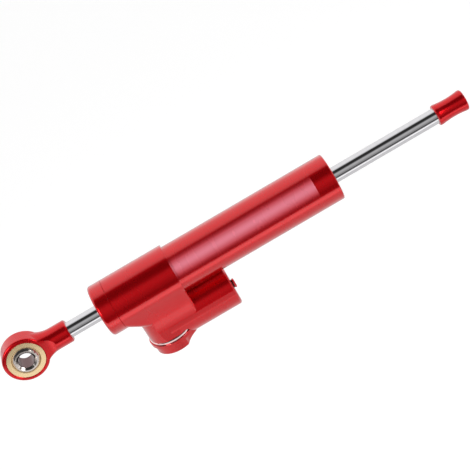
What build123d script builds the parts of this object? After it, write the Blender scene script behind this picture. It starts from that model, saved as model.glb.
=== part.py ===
from build123d import *
from math import acos, asin, cos, degrees, radians, sin, sqrt, tan
import os

# Linear steering damper for a motorcycle, in millimetres.
# X runs along the rod, from the rod end to the end stop. Z is up and the adjuster points down.
# The origin is on the rod's axis, in the middle of the tube that shows, where the clamp sits.

os.makedirs("parts", exist_ok=True)

# Fits, shared by all pieces
running_gap = 0.03          # radial, between pieces that move on each other
seat_gap = 0.02             # radial, between pieces that stay together
stop_clear = 0.3            # left between a stop and what it meets at full travel
edge_break = 0.4            # small chamfer on an edge
overrun = 1.0               # how far a cut runs past a face

# Tube, rod and what shows of them at rest
tube_d = 24.1
tube_wall = 1.2
tube_shown = 87.9
tube_seat_step = 0.3        # radial, how much smaller the tube is inside the valve head
rod_d = 8.0
front_rod_shown = 17.2
rear_rod_shown = 57.0
rod_thread_d = 6.0
rod_thread_length = 11.0

# Cylinder inside the tube, with the oil's way back between the two
oil_gap = 0.95
cylinder_wall = 1.15
port_d = 3.0
port_count = 4

# Valve head: barrel, boss for the adjuster and reservoir below the tube
head_step = 1.25            # radial, how far the head stands out from the tube
head_length = 32.9
head_wall = 2.4
tube_seat_depth = 6.0
cylinder_seat_depth = 4.0
gallery_step = 0.75
knob_offset = 16.55         # from the head's tube face to the adjuster's axis
boss_d = 22.4
boss_reach = 27.2           # from the rod's axis to the boss's end
flare_drop = 15.6           # from the rod's axis to where the boss starts to flare
flare_angle = 40.0          # of the flare, in degrees from level
flare_blend_r = 2.0
flare_edge_r = 3.5
web_r = 43.0                # radius of the hollow on each side of the web
web_edge_r = 1.5            # rounding of the web's ends at the tube face
web_bite = 0.2              # how deep that hollow cuts the reservoir, which leaves the crease
reservoir_d = 20.6
reservoir_drop = 23.8
reservoir_overhang = 20.5   # how far the reservoir runs past the head's tube face
reservoir_wall = 2.3
reservoir_end_wall = 1.4    # between the adjuster's pocket and the reservoir's bore
reservoir_chamfer = 0.8     # on the rim of its open end
pocket_gap = 0.5            # round the adjuster, where it cuts into the reservoir

# Front cap with the rod's front bearing and seals
cap_length = 7.55
cap_rounding = 1.5
seam_chamfer = 0.3          # on the cap's rim, where it meets the head
spigot_length = 12.0

# Rear gland in the tube's end
gland_length = 10.3
gland_spigot = 1.0
pin_hole_d = 2.2            # holes for a pin spanner
pin_hole_depth = 2.5

# Rod bushes, seals and wipers
bush_wall = 1.3
front_bush_length = 8.0
rear_bush_length = 4.5
land = 0.8                  # metal left between a bush and the seal behind it
seal_wall = 2.6
seal_length = 2.6
wiper_wall = 2.4
wiper_length = 2.6
wiper_lip = 0.7
wiper_lip_wall = 0.9

# O-rings
o_ring_d = 1.6
o_ring_groove = 2.0
spindle_o_ring_d = 1.0
spindle_groove = 1.2

# Piston
piston_length = 10.0
piston_ring_length = 3.0
piston_ring_depth = 1.2
circlip_thickness = 1.0
circlip_depth = 0.6         # how deep the circlip sits in the rod
circlip_wall = 1.5
circlip_opening = 2.6

# Rod end with its ball
socket_reach = 24.35        # from the ball's centre to the socket's end
eye_d = 23.0
eye_thickness = 9.0
eye_rounding = 1.1
neck_d = 11.55
neck_blend_r = 14.0
neck_flare_r = 8.0
neck_chamfer = 0.7
race_d = 18.8
race_width = 8.8
race_lead = 0.55
ball_d = 15.88
ball_width = 11.0
ball_bore_d = 8.0
ball_lead = 1.0

# End stop
stop_length = 15.8
stop_d = 10.6
stop_waist_d = 9.65
stop_collar = 1.6
stop_socket_flats = 4.0
stop_socket_depth = 3.0

# Adjuster: plate, knob, spindle and its clicks
plate_d = 22.8
plate_edge = 0.3            # chamfer on the plate's upper rim
plate_thickness = 1.2
knob_gap = 0.2
flange_d = 24.0
flange_thickness = 1.6
flange_rounding = 0.6       # of the flange's lower rim
grip_d = 21.8
grip_height = 4.9
grip_edge = 0.8
lobe_count = 2
lobe_hollow_r = 16.0
lobe_hollow_depth = 1.85
lobe_turn = -40.0           # direction of the first hollow, in degrees from X
click_count = 24
click_circle_d = 11.2
click_ball_d = 2.0
click_dimple_depth = 0.3
click_spring_wire_d = 0.3
click_spring_turns = 3.5
click_spring_length = 3.2
spindle_d = 7.0
spindle_top = 14.3          # from the rod's axis to the spindle's inner end
stub_d = 5.0
stub_flat = 0.8             # depth of the flat that drives the spindle
stub_length = 4.2
stop_pin_d = 1.2
stop_circle_d = 17.2
stop_pin_reach = 0.8
stop_pin_turn = 90.0        # direction of the pin, in degrees from X
knob_travel = 345.0         # degrees from fully open to fully closed
plate_screw_d = 1.6
plate_screw_head_d = 3.0
plate_screw_length = 4.0
plate_screw_turns = (150.0, 330.0)
knob_screw_d = 2.5
knob_screw_head_d = 4.8
knob_screw_head = 1.6
knob_screw_length = 4.0
small_hex_flats = 1.5
small_hex_depth = 0.8

# Oil ways in the head
oil_way_d = 2.0
metering_slot = 1.0

# Reservoir: floating piston, spring, plug and its filler screw
float_length = 4.4
float_cup_depth = 1.5
float_cup_wall = 1.2
float_room = 3.5            # oil space between the reservoir's floor and the floating piston
plug_length = 5.6
filler_d = 3.0
filler_head_d = 4.8
filler_head = 1.0
filler_length = 4.5
filler_o_ring_d = 0.6
reservoir_spring_d = 11.6
reservoir_wire_d = 1.0
reservoir_spring_turns = 4.5

# Radii
tube_r = tube_d / 2
tube_seat_r = tube_r - tube_seat_step
tube_bore_r = tube_r - tube_wall
cylinder_r = tube_bore_r - oil_gap
cylinder_bore_r = cylinder_r - cylinder_wall
rod_r = rod_d / 2
rod_bore_r = rod_r + running_gap
rod_thread_r = rod_thread_d / 2
head_r = tube_r + head_step
spigot_bore_r = head_r - head_wall
gallery_r = cylinder_bore_r - gallery_step
boss_r = boss_d / 2
reservoir_r = reservoir_d / 2
reservoir_bore_r = reservoir_r - reservoir_wall
bush_r = rod_r + bush_wall
seal_r = rod_r + seal_wall
wiper_r = rod_r + wiper_wall
piston_r = cylinder_bore_r - running_gap
eye_r = eye_d / 2
neck_r = neck_d / 2
race_r = race_d / 2
ball_r = ball_d / 2
stop_r = stop_d / 2
flange_r = flange_d / 2
plate_r = plate_d / 2
pocket_r = flange_r + pocket_gap
grip_r = grip_d / 2
spindle_r = spindle_d / 2
stub_r = stub_d / 2
click_ball_r = click_ball_d / 2
click_circle_r = click_circle_d / 2
stop_circle_r = stop_circle_d / 2

# Places along X
tube_end_x = tube_shown / 2
head_face_x = -tube_end_x
tube_start_x = head_face_x - tube_seat_depth
cylinder_start_x = tube_start_x - cylinder_seat_depth
seam_x = head_face_x - head_length
cap_face_x = seam_x - cap_length
spigot_end_x = seam_x + spigot_length
socket_end_x = cap_face_x - front_rod_shown
eye_x = socket_end_x - socket_reach
gland_start_x = tube_end_x - gland_length
chamber_end_x = gland_start_x - gland_spigot
stop_start_x = tube_end_x + rear_rod_shown
stop_end_x = stop_start_x + stop_length
knob_x = head_face_x - knob_offset
reservoir_end_x = head_face_x + reservoir_overhang
reservoir_floor_x = knob_x + pocket_r + reservoir_end_wall

# Travel of the rod, and the piston's place that allows it
travel_in = front_rod_shown - wiper_lip - stop_clear
travel_out = rear_rod_shown - wiper_lip - stop_clear
piston_end_x = chamber_end_x - travel_in - circlip_thickness - stop_clear
piston_start_x = piston_end_x - piston_length

# Places along Z
reservoir_z = -reservoir_drop
boss_end_z = -boss_reach
plate_end_z = boss_end_z - plate_thickness
flange_top_z = plate_end_z - knob_gap
grip_top_z = flange_top_z - flange_thickness
knob_end_z = grip_top_z - grip_height
spindle_top_z = -spindle_top
stub_end_z = boss_end_z - plate_thickness - stub_length
print("travel of the rod:", -travel_out, "to", travel_in)


def ring_profile(start_x, end_x, inner_r, outer_r, mode=Mode.ADD):
    """Section of a turned ring, drawn on the XZ plane beside the rod's axis."""
    with Locations(((start_x + end_x) / 2, (inner_r + outer_r) / 2)):
        Rectangle(end_x - start_x, outer_r - inner_r, mode=mode)


def polar(radius, angle):
    """Point on a circle about the adjuster's axis, in the XY plane."""
    return (knob_x + radius * cos(radians(angle)), radius * sin(radians(angle)))


def coil_path(plane, mean_r, rise, turns):
    """Wound spring along the plane's normal, as arcs that each start where the last one points."""
    steps = round(turns * 4)
    def at(step):
        angle = radians(360) * turns * step / steps
        place = plane.from_local_coords(Vector(mean_r * cos(angle), mean_r * sin(angle), rise * step / steps))
        run = Vector(-mean_r * sin(angle), mean_r * cos(angle), rise / (radians(360) * turns))
        return place, (plane.from_local_coords(run) - plane.origin).normalized()
    with BuildLine() as path:
        for step in range(steps):
            start, leaving = at(step)
            end, arriving = at(step + 1)
            chord = end - start
            both = leaving + arriving
            spread = 2 * (1 - leaving.dot(arriving))
            reach = (sqrt(chord.dot(both) ** 2 + spread * chord.dot(chord)) - chord.dot(both)) / spread
            joint = (start + end) * 0.5 + (leaving - arriving) * (reach / 2)
            first = TangentArc(start, joint, tangent=leaving)
            TangentArc(joint, end, tangent=first % 1)
    return path.line


# Outer tube
with BuildPart() as outer_tube:
    with BuildSketch(Plane.XZ):
        ring_profile(tube_start_x, head_face_x, tube_bore_r, tube_seat_r)
        ring_profile(head_face_x, tube_end_x, tube_bore_r, tube_r)
    revolve(axis=Axis.X)
    chamfer(outer_tube.edges().group_by(Axis.X)[-1].sort_by(SortBy.RADIUS)[-1], edge_break)
outer_tube.part.label = "outer_tube"
export_step(outer_tube.part, "parts/outer_tube.step")

# Inner cylinder, with ports into the space between the tubes
with BuildPart() as inner_cylinder:
    with BuildSketch(Plane.XZ):
        ring_profile(cylinder_start_x, gland_start_x, cylinder_bore_r, cylinder_r)
    revolve(axis=Axis.X)
    with Locations(Plane.YZ.offset(chamber_end_x - port_d)):
        with PolarLocations(0, port_count):
            Cylinder(port_d / 2, cylinder_r + overrun, rotation=(0, 90, 0),
                     align=(Align.CENTER, Align.CENTER, Align.MIN), mode=Mode.SUBTRACT)
inner_cylinder.part.label = "inner_cylinder"
export_step(inner_cylinder.part, "parts/inner_cylinder.step")

# Valve head. The hollow on each side of the web is a circle that touches the barrel
# and cuts a little into the reservoir. It starts where it meets the boss.
barrel_to_hollow = head_r + web_r
reservoir_to_hollow = reservoir_r + web_r - web_bite
hollow_z = -(barrel_to_hollow ** 2 - reservoir_to_hollow ** 2 + reservoir_drop ** 2) / (2 * reservoir_drop)
hollow_y = sqrt(barrel_to_hollow ** 2 - hollow_z ** 2)
top_y = hollow_y * head_r / barrel_to_hollow
top_z = hollow_z * head_r / barrel_to_hollow
low_y = hollow_y - hollow_y * web_r / reservoir_to_hollow
low_z = hollow_z + (reservoir_z - hollow_z) * web_r / reservoir_to_hollow
waist_y = hollow_y - web_r
recess_x = knob_x - sqrt(boss_r ** 2 - waist_y ** 2)
flare_reach = flare_drop / tan(radians(flare_angle))

with BuildSketch(Plane.YZ) as web_section:
    with BuildLine():
        RadiusArc((top_y, top_z), (low_y, low_z), -web_r)
        Polyline((low_y, low_z), (0, low_z), (0, top_z), (top_y, top_z))
    make_face()
    mirror(about=Plane.YZ)

# the boss with the flare above it
with BuildPart() as flared_boss:
    with BuildSketch(Plane.XZ):
        with BuildLine():
            Polyline((knob_x, reservoir_z), (knob_x - boss_r, reservoir_z), (knob_x - boss_r, -flare_drop),
                     (knob_x - boss_r - flare_reach, 0), (knob_x, 0), close=True)
        make_face()
        fillet(vertices().sort_by_distance((knob_x - boss_r, 0, -flare_drop))[0], flare_blend_r)
    revolve(axis=Axis((knob_x, 0, 0), (0, 0, 1)))

# the web on the cap's side, cut off by the flare
with BuildPart() as front_web:
    extrude(web_section.sketch.moved(Location((seam_x, 0, 0))), amount=knob_x - seam_x, dir=(1, 0, 0))
    add(flared_boss.part, mode=Mode.INTERSECT)
    fillet(front_web.edges().filter_by(GeomType.BSPLINE), flare_edge_r)

# the web on the tube's side, rounded where it ends at the tube face
with BuildPart() as rear_web:
    extrude(web_section.sketch.moved(Location((knob_x, 0, 0))), amount=head_face_x - knob_x, dir=(1, 0, 0))
    fillet(rear_web.edges().group_by(Axis.X)[-1].filter_by(GeomType.CIRCLE), web_edge_r)

with BuildPart() as boss:
    with BuildSketch(Plane.XY.offset(boss_end_z)):
        with Locations((knob_x, 0)):
            Circle(boss_r)
    extrude(amount=boss_reach)
    with BuildSketch(Plane.YZ.offset(recess_x)):
        with BuildLine():
            ThreePointArc((top_y, top_z), (waist_y, hollow_z), (hollow_y, hollow_z - web_r))
            Polyline((hollow_y, hollow_z - web_r), (hollow_y, 0), (top_y, 0), (top_y, top_z))
        make_face()
        mirror(about=Plane.YZ)
    extrude(amount=knob_x - recess_x + boss_r + overrun, mode=Mode.SUBTRACT)

with BuildPart() as valve_head:
    with BuildSketch(Plane.YZ.offset(seam_x)):
        Circle(head_r)
    extrude(amount=head_length)
    add(rear_web.part)
    add(front_web.part)
    with BuildSketch(Plane.YZ.offset(knob_x)):
        with Locations((0, reservoir_z)):
            Circle(reservoir_r)
    extrude(amount=reservoir_end_x - knob_x)
    # room for the adjuster, cut out of the reservoir's lower side
    with BuildSketch(Plane.XY.offset(boss_end_z)):
        with Locations((knob_x, 0)):
            Circle(pocket_r)
    extrude(amount=reservoir_z - reservoir_r - boss_end_z - overrun, mode=Mode.SUBTRACT)
    add(boss.part)
    # bores along the rod: tube, cylinder, oil gallery and the cap's spigot
    with BuildSketch(Plane.XZ):
        ring_profile(tube_start_x, head_face_x + overrun, 0, tube_seat_r + seat_gap)
        ring_profile(cylinder_start_x, head_face_x, 0, cylinder_r + seat_gap)
        ring_profile(seam_x, head_face_x, 0, gallery_r)
        ring_profile(seam_x - overrun, spigot_end_x, 0, spigot_bore_r + seat_gap)
    revolve(axis=Axis.X, mode=Mode.SUBTRACT)
    # reservoir bore, and the oil way from it to the valve
    with BuildSketch(Plane.YZ.offset(reservoir_end_x)):
        with Locations((0, reservoir_z)):
            Circle(reservoir_bore_r)
    extrude(amount=reservoir_floor_x - reservoir_end_x, mode=Mode.SUBTRACT)
    with BuildSketch(Plane.YZ.offset(reservoir_floor_x)):
        with Locations((0, reservoir_z)):
            Circle(oil_way_d / 2)
    extrude(amount=knob_x - reservoir_floor_x, mode=Mode.SUBTRACT)
    # valve bore, and the oil way up to the gallery
    with BuildSketch(Plane.XY.offset(spindle_top_z)):
        with Locations((knob_x, 0)):
            Circle(spindle_r + running_gap)
    extrude(amount=boss_end_z - spindle_top_z - overrun, mode=Mode.SUBTRACT)
    with BuildSketch(Plane.XY.offset(spindle_top_z)):
        with Locations((knob_x, 0)):
            Circle(oil_way_d / 2)
    extrude(amount=-spindle_top_z, mode=Mode.SUBTRACT)
    # threaded holes for the plate's screws, drawn plain
    with BuildSketch(Plane.XY.offset(boss_end_z)):
        with Locations([polar(stop_circle_r, turn) for turn in plate_screw_turns]):
            Circle(plate_screw_d / 2 + seat_gap)
    extrude(amount=plate_screw_length, mode=Mode.SUBTRACT)
    chamfer(valve_head.edges().filter_by_position(Axis.X, reservoir_end_x, reservoir_end_x)
            .sort_by(SortBy.RADIUS)[-1], reservoir_chamfer)
valve_head.part.label = "valve_head"
export_step(valve_head.part, "parts/valve_head.step")

# Front cap: flange, spigot with its O-ring groove, and room for bush, seal and wiper
front_bush_x = spigot_end_x - front_bush_length
front_seal_x = front_bush_x - land - seal_length
front_wiper_x = cap_face_x + wiper_length
front_groove_x = front_bush_x + o_ring_groove
with BuildPart() as front_cap:
    with BuildSketch(Plane.XZ):
        ring_profile(cap_face_x, seam_x, rod_r + land, head_r)
        ring_profile(seam_x, spigot_end_x, rod_r + land, spigot_bore_r)
        ring_profile(front_groove_x, front_groove_x + o_ring_groove,
                     spigot_bore_r - o_ring_d, spigot_bore_r, mode=Mode.SUBTRACT)
        ring_profile(front_bush_x, spigot_end_x, 0, bush_r + seat_gap, mode=Mode.SUBTRACT)
        ring_profile(front_seal_x, front_seal_x + seal_length, 0, seal_r, mode=Mode.SUBTRACT)
        ring_profile(cap_face_x, front_wiper_x, 0, wiper_r, mode=Mode.SUBTRACT)
    revolve(axis=Axis.X)
    rims = front_cap.edges().filter_by(lambda edge: edge.geom_type == GeomType.CIRCLE
                                       and edge.radius > head_r - seat_gap)
    fillet(rims.sort_by(Axis.X)[0], cap_rounding)
    chamfer(rims.sort_by(Axis.X)[-1], seam_chamfer)
    with BuildSketch(Plane.YZ.offset(cap_face_x)):
        with PolarLocations((wiper_r + head_r) / 2, 2):
            Circle(pin_hole_d / 2)
    extrude(amount=pin_hole_depth, mode=Mode.SUBTRACT)
front_cap.part.label = "front_cap"
export_step(front_cap.part, "parts/front_cap.step")

# Rear gland, which closes the tube and centres the cylinder
rear_bush_x = chamber_end_x
rear_seal_x = rear_bush_x + rear_bush_length + land
rear_wiper_x = tube_end_x - wiper_length
rear_groove_x = gland_start_x + o_ring_groove
with BuildPart() as rear_gland:
    with BuildSketch(Plane.XZ):
        ring_profile(chamber_end_x, gland_start_x, rod_r + land, cylinder_bore_r - seat_gap)
        ring_profile(gland_start_x, tube_end_x, rod_r + land, tube_bore_r - seat_gap)
        ring_profile(rear_groove_x, rear_groove_x + o_ring_groove,
                     tube_bore_r - o_ring_d, tube_bore_r, mode=Mode.SUBTRACT)
        ring_profile(rear_bush_x, rear_bush_x + rear_bush_length, 0, bush_r + seat_gap, mode=Mode.SUBTRACT)
        ring_profile(rear_seal_x, rear_seal_x + seal_length, 0, seal_r, mode=Mode.SUBTRACT)
        ring_profile(rear_wiper_x, tube_end_x, 0, wiper_r, mode=Mode.SUBTRACT)
    revolve(axis=Axis.X)
    with BuildSketch(Plane.YZ.offset(tube_end_x)):
        with PolarLocations((wiper_r + tube_bore_r) / 2, 2):
            Circle(pin_hole_d / 2)
    extrude(amount=-pin_hole_depth, mode=Mode.SUBTRACT)
rear_gland.part.label = "rear_gland"
export_step(rear_gland.part, "parts/rear_gland.step")

# Rod bushes and rod seals, plain rings at the two ends
for name, start_x, length, outer_r in (
    ("front_rod_bush", front_bush_x, front_bush_length, bush_r),
    ("rear_rod_bush", rear_bush_x, rear_bush_length, bush_r),
    ("front_rod_seal", front_seal_x, seal_length, seal_r - seat_gap),
    ("rear_rod_seal", rear_seal_x, seal_length, seal_r - seat_gap),
):
    with BuildPart() as rod_ring:
        with BuildSketch(Plane.XZ):
            ring_profile(start_x, start_x + length, rod_bore_r, outer_r)
        revolve(axis=Axis.X)
    rod_ring.part.label = name
    export_step(rod_ring.part, f"parts/{name}.step")

# Wipers, with a lip that stands out round the rod
for name, inner_x, face_x, out in (
    ("front_wiper", front_wiper_x, cap_face_x, -1),
    ("rear_wiper", rear_wiper_x, tube_end_x, 1),
):
    lip_x = face_x + out * wiper_lip
    with BuildPart() as wiper:
        with BuildSketch(Plane.XZ):
            with BuildLine():
                Polyline((inner_x, rod_bore_r), (lip_x, rod_bore_r),
                         (lip_x, rod_r + wiper_lip_wall / 2), (face_x, rod_r + wiper_lip_wall),
                         (face_x, wiper_r - seat_gap), (inner_x, wiper_r - seat_gap), close=True)
            make_face()
        revolve(axis=Axis.X)
    wiper.part.label = name
    export_step(wiper.part, f"parts/{name}.step")

# O-rings about the rod's axis
o_ring_r = o_ring_d / 2
for name, groove_x, wall_r in (
    ("front_cap_o_ring", front_groove_x, spigot_bore_r),
    ("rear_gland_o_ring", rear_groove_x, tube_bore_r),
):
    with BuildPart() as o_ring:
        with BuildSketch(Plane.XZ):
            with Locations((groove_x + o_ring_groove / 2, wall_r - o_ring_r)):
                Circle(o_ring_r - seat_gap)
        revolve(axis=Axis.X)
    o_ring.part.label = name
    export_step(o_ring.part, f"parts/{name}.step")

# Piston with its ring
piston_middle_x = (piston_start_x + piston_end_x) / 2
with BuildPart() as piston:
    with BuildSketch(Plane.XZ):
        ring_profile(piston_start_x, piston_end_x, rod_bore_r, piston_r)
        ring_profile(piston_middle_x - piston_ring_length / 2, piston_middle_x + piston_ring_length / 2,
                     piston_r - piston_ring_depth, piston_r, mode=Mode.SUBTRACT)
    revolve(axis=Axis.X)
    outer_rims = piston.edges().filter_by(GeomType.CIRCLE).group_by(SortBy.RADIUS)[-1].sort_by(Axis.X)
    chamfer([outer_rims[0], outer_rims[-1]], edge_break)
piston.part.label = "piston"
export_step(piston.part, "parts/piston.step")

with BuildPart() as piston_ring:
    with BuildSketch(Plane.XZ):
        ring_profile(piston_middle_x - piston_ring_length / 2, piston_middle_x + piston_ring_length / 2,
                     piston_r - piston_ring_depth + seat_gap, piston_r + running_gap / 2)
    revolve(axis=Axis.X)
piston_ring.part.label = "piston_ring"
export_step(piston_ring.part, "parts/piston_ring.step")

# Piston rod, right through the damper, with a groove on each side of the piston
circlip_xs = (piston_start_x - circlip_thickness, piston_end_x)
with BuildPart() as piston_rod:
    with BuildSketch(Plane.XZ):
        ring_profile(socket_end_x, stop_start_x, 0, rod_r)
        ring_profile(socket_end_x - rod_thread_length, stop_start_x + rod_thread_length, 0, rod_thread_r)
        for groove_x in circlip_xs:
            ring_profile(groove_x, groove_x + circlip_thickness, rod_r - circlip_depth, rod_r,
                         mode=Mode.SUBTRACT)
    revolve(axis=Axis.X)
    rod_ends = piston_rod.edges().filter_by(GeomType.CIRCLE).sort_by(Axis.X)
    chamfer([rod_ends[0], rod_ends[-1]], edge_break)
piston_rod.part.label = "piston_rod"
export_step(piston_rod.part, "parts/piston_rod.step")

with BuildPart() as piston_circlips:
    for groove_x in circlip_xs:
        with BuildSketch(Plane.YZ.offset(groove_x)):
            Circle(rod_r + circlip_wall)
            Circle(rod_r - circlip_depth + seat_gap, mode=Mode.SUBTRACT)
            with Locations((0, rod_r)):
                Rectangle(circlip_opening, rod_r + circlip_wall, mode=Mode.SUBTRACT)
        extrude(amount=circlip_thickness)
piston_circlips.part.label = "piston_circlips"
export_step(piston_circlips.part, "parts/piston_circlips.step")

# Rod end: a turned neck that flares into the flat eye
blend_x = sqrt((eye_r + neck_blend_r) ** 2 - (neck_r + neck_blend_r) ** 2)
blend_turn = degrees(asin((neck_r + neck_blend_r) / (eye_r + neck_blend_r)))
touch_x = blend_x * eye_r / (eye_r + neck_blend_r)
flare_rise = neck_r - eye_thickness / 2
flare_turn = degrees(acos((neck_flare_r - flare_rise) / neck_flare_r))
flare_x = blend_x - sqrt(2 * neck_flare_r * flare_rise - flare_rise ** 2)
with BuildPart() as neck:
    with BuildSketch(Plane.XZ):
        with BuildLine():
            flank = CenterArc((eye_x + blend_x, neck_r + neck_blend_r), neck_blend_r, -90, blend_turn - 90)
            Polyline(flank @ 0, (socket_end_x - neck_chamfer, neck_r), (socket_end_x, neck_r - neck_chamfer),
                     (socket_end_x, 0), (eye_x + touch_x, 0), flank @ 1)
        make_face()
    revolve(axis=Axis.X)
    with BuildSketch(Plane.XY):
        with BuildLine():
            flare = CenterArc((eye_x + flare_x, eye_thickness / 2 + neck_flare_r), neck_flare_r, -90, flare_turn)
            Polyline(flare @ 0, (eye_x, eye_thickness / 2), (eye_x, 0))
            Polyline(flare @ 1, (eye_x + blend_x, neck_r + overrun), (socket_end_x + overrun, neck_r + overrun),
                     (socket_end_x + overrun, 0))
            mirror(about=Plane.XZ)
        make_face()
    extrude(amount=eye_r, both=True, mode=Mode.INTERSECT)

with BuildPart() as rod_end_body:
    with BuildSketch(Plane.XZ):
        with Locations((eye_x, 0)):
            Circle(eye_r)
    extrude(amount=eye_thickness / 2, both=True)
    fillet(rod_end_body.edges().filter_by(GeomType.CIRCLE), eye_rounding)
    add(neck.part)
    with BuildSketch(Plane.XZ):
        with Locations((eye_x, 0)):
            Circle(race_r + seat_gap)
    extrude(amount=eye_thickness, both=True, mode=Mode.SUBTRACT)
    eye_rims = rod_end_body.edges().filter_by(lambda edge: edge.geom_type == GeomType.CIRCLE
                                              and abs(edge.radius - race_r) < seat_gap * 2)
    chamfer(eye_rims, edge_break)
    with BuildSketch(Plane.YZ.offset(socket_end_x)):
        Circle(rod_thread_r + seat_gap)
    extrude(amount=-rod_thread_length - overrun, mode=Mode.SUBTRACT)
rod_end_body.part.label = "rod_end_body"
export_step(rod_end_body.part, "parts/rod_end_body.step")

with BuildPart() as rod_end_race:
    with BuildSketch(Plane.XZ):
        with Locations((eye_x, 0)):
            Circle(race_r)
    extrude(amount=race_width / 2, both=True)
    with Locations((eye_x, 0, 0)):
        Sphere(ball_r + running_gap, mode=Mode.SUBTRACT)
    chamfer(rod_end_race.edges().filter_by(GeomType.CIRCLE).group_by(SortBy.RADIUS)[0], race_lead)
rod_end_race.part.label = "rod_end_race"
export_step(rod_end_race.part, "parts/rod_end_race.step")

with BuildPart() as rod_end_ball:
    with Locations((eye_x, 0, 0)):
        Sphere(ball_r)
    with BuildSketch(Plane.XZ):
        with Locations((eye_x, 0)):
            Circle(ball_r + overrun)
            Circle(ball_bore_d / 2, mode=Mode.SUBTRACT)
    extrude(amount=ball_width / 2, both=True, mode=Mode.INTERSECT)
    chamfer(rod_end_ball.edges().filter_by(GeomType.CIRCLE).group_by(SortBy.RADIUS)[0], ball_lead)
rod_end_ball.part.label = "rod_end_ball"
export_step(rod_end_ball.part, "parts/rod_end_ball.step")

# End stop: a waisted sleeve screwed on the rod
with BuildPart() as end_stop:
    with BuildSketch(Plane.XZ):
        with BuildLine():
            ThreePointArc((stop_start_x + stop_collar, stop_r),
                          ((stop_start_x + stop_end_x) / 2, stop_waist_d / 2),
                          (stop_end_x - stop_collar, stop_r))
            Polyline((stop_end_x - stop_collar, stop_r), (stop_end_x, stop_r), (stop_end_x, 0),
                     (stop_start_x, 0), (stop_start_x, stop_r), (stop_start_x + stop_collar, stop_r))
        make_face()
    revolve(axis=Axis.X)
    stop_rims = end_stop.edges().filter_by(GeomType.CIRCLE).sort_by(Axis.X)
    chamfer([stop_rims[0], stop_rims[-1]], edge_break)
    with BuildSketch(Plane.YZ.offset(stop_start_x)):
        Circle(rod_thread_r + seat_gap)
    extrude(amount=rod_thread_length + overrun, mode=Mode.SUBTRACT)
    with BuildSketch(Plane.YZ.offset(stop_end_x)):
        RegularPolygon(stop_socket_flats / 2, 6, major_radius=False)
    extrude(amount=-stop_socket_depth, mode=Mode.SUBTRACT)
end_stop.part.label = "end_stop"
export_step(end_stop.part, "parts/end_stop.step")

# Index plate under the boss, with a ring of dimples for the clicks
click_middle_z = plate_end_z - click_ball_r - seat_gap
with BuildPart() as index_plate:
    with BuildSketch(Plane.XY.offset(plate_end_z)):
        with Locations((knob_x, 0)):
            Circle(plate_r)
            Circle(stub_r + running_gap, mode=Mode.SUBTRACT)
        with Locations([polar(stop_circle_r, turn) for turn in plate_screw_turns]):
            Circle(plate_screw_d / 2 + seat_gap, mode=Mode.SUBTRACT)
        with Locations(polar(stop_circle_r, stop_pin_turn)):
            Circle(stop_pin_d / 2 + seat_gap, mode=Mode.SUBTRACT)
    extrude(amount=plate_thickness)
    chamfer(index_plate.faces().sort_by(Axis.Z)[-1].outer_wire().edges(), plate_edge)
    with Locations([(*polar(stop_circle_r, turn), plate_end_z) for turn in plate_screw_turns]):
        Cone(plate_screw_head_d / 2 + seat_gap, plate_screw_d / 2 + seat_gap,
             (plate_screw_head_d - plate_screw_d) / 2,
             align=(Align.CENTER, Align.CENTER, Align.MIN), mode=Mode.SUBTRACT)
    clicks = [polar(click_circle_r, 360 * click / click_count) for click in range(click_count)]
    with Locations([(*place, plate_end_z - click_ball_r + click_dimple_depth) for place in clicks]):
        Sphere(click_ball_r, mode=Mode.SUBTRACT)
index_plate.part.label = "index_plate"
export_step(index_plate.part, "parts/index_plate.step")

with BuildPart() as index_plate_screws:
    for turn in plate_screw_turns:
        place = polar(stop_circle_r, turn)
        with Locations((*place, plate_end_z)):
            Cone(plate_screw_head_d / 2, plate_screw_d / 2, (plate_screw_head_d - plate_screw_d) / 2,
                 align=(Align.CENTER, Align.CENTER, Align.MIN))
            Cylinder(plate_screw_d / 2, plate_screw_length, align=(Align.CENTER, Align.CENTER, Align.MIN))
index_plate_screws.part.label = "index_plate_screws"
export_step(index_plate_screws.part, "parts/index_plate_screws.step")

with BuildPart() as stop_pin:
    with BuildSketch(Plane.XY.offset(boss_end_z)):
        with Locations(polar(stop_circle_r, stop_pin_turn)):
            Circle(stop_pin_d / 2)
    extrude(amount=-plate_thickness - knob_gap - stop_pin_reach)
stop_pin.part.label = "stop_pin"
export_step(stop_pin.part, "parts/stop_pin.step")

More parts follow.
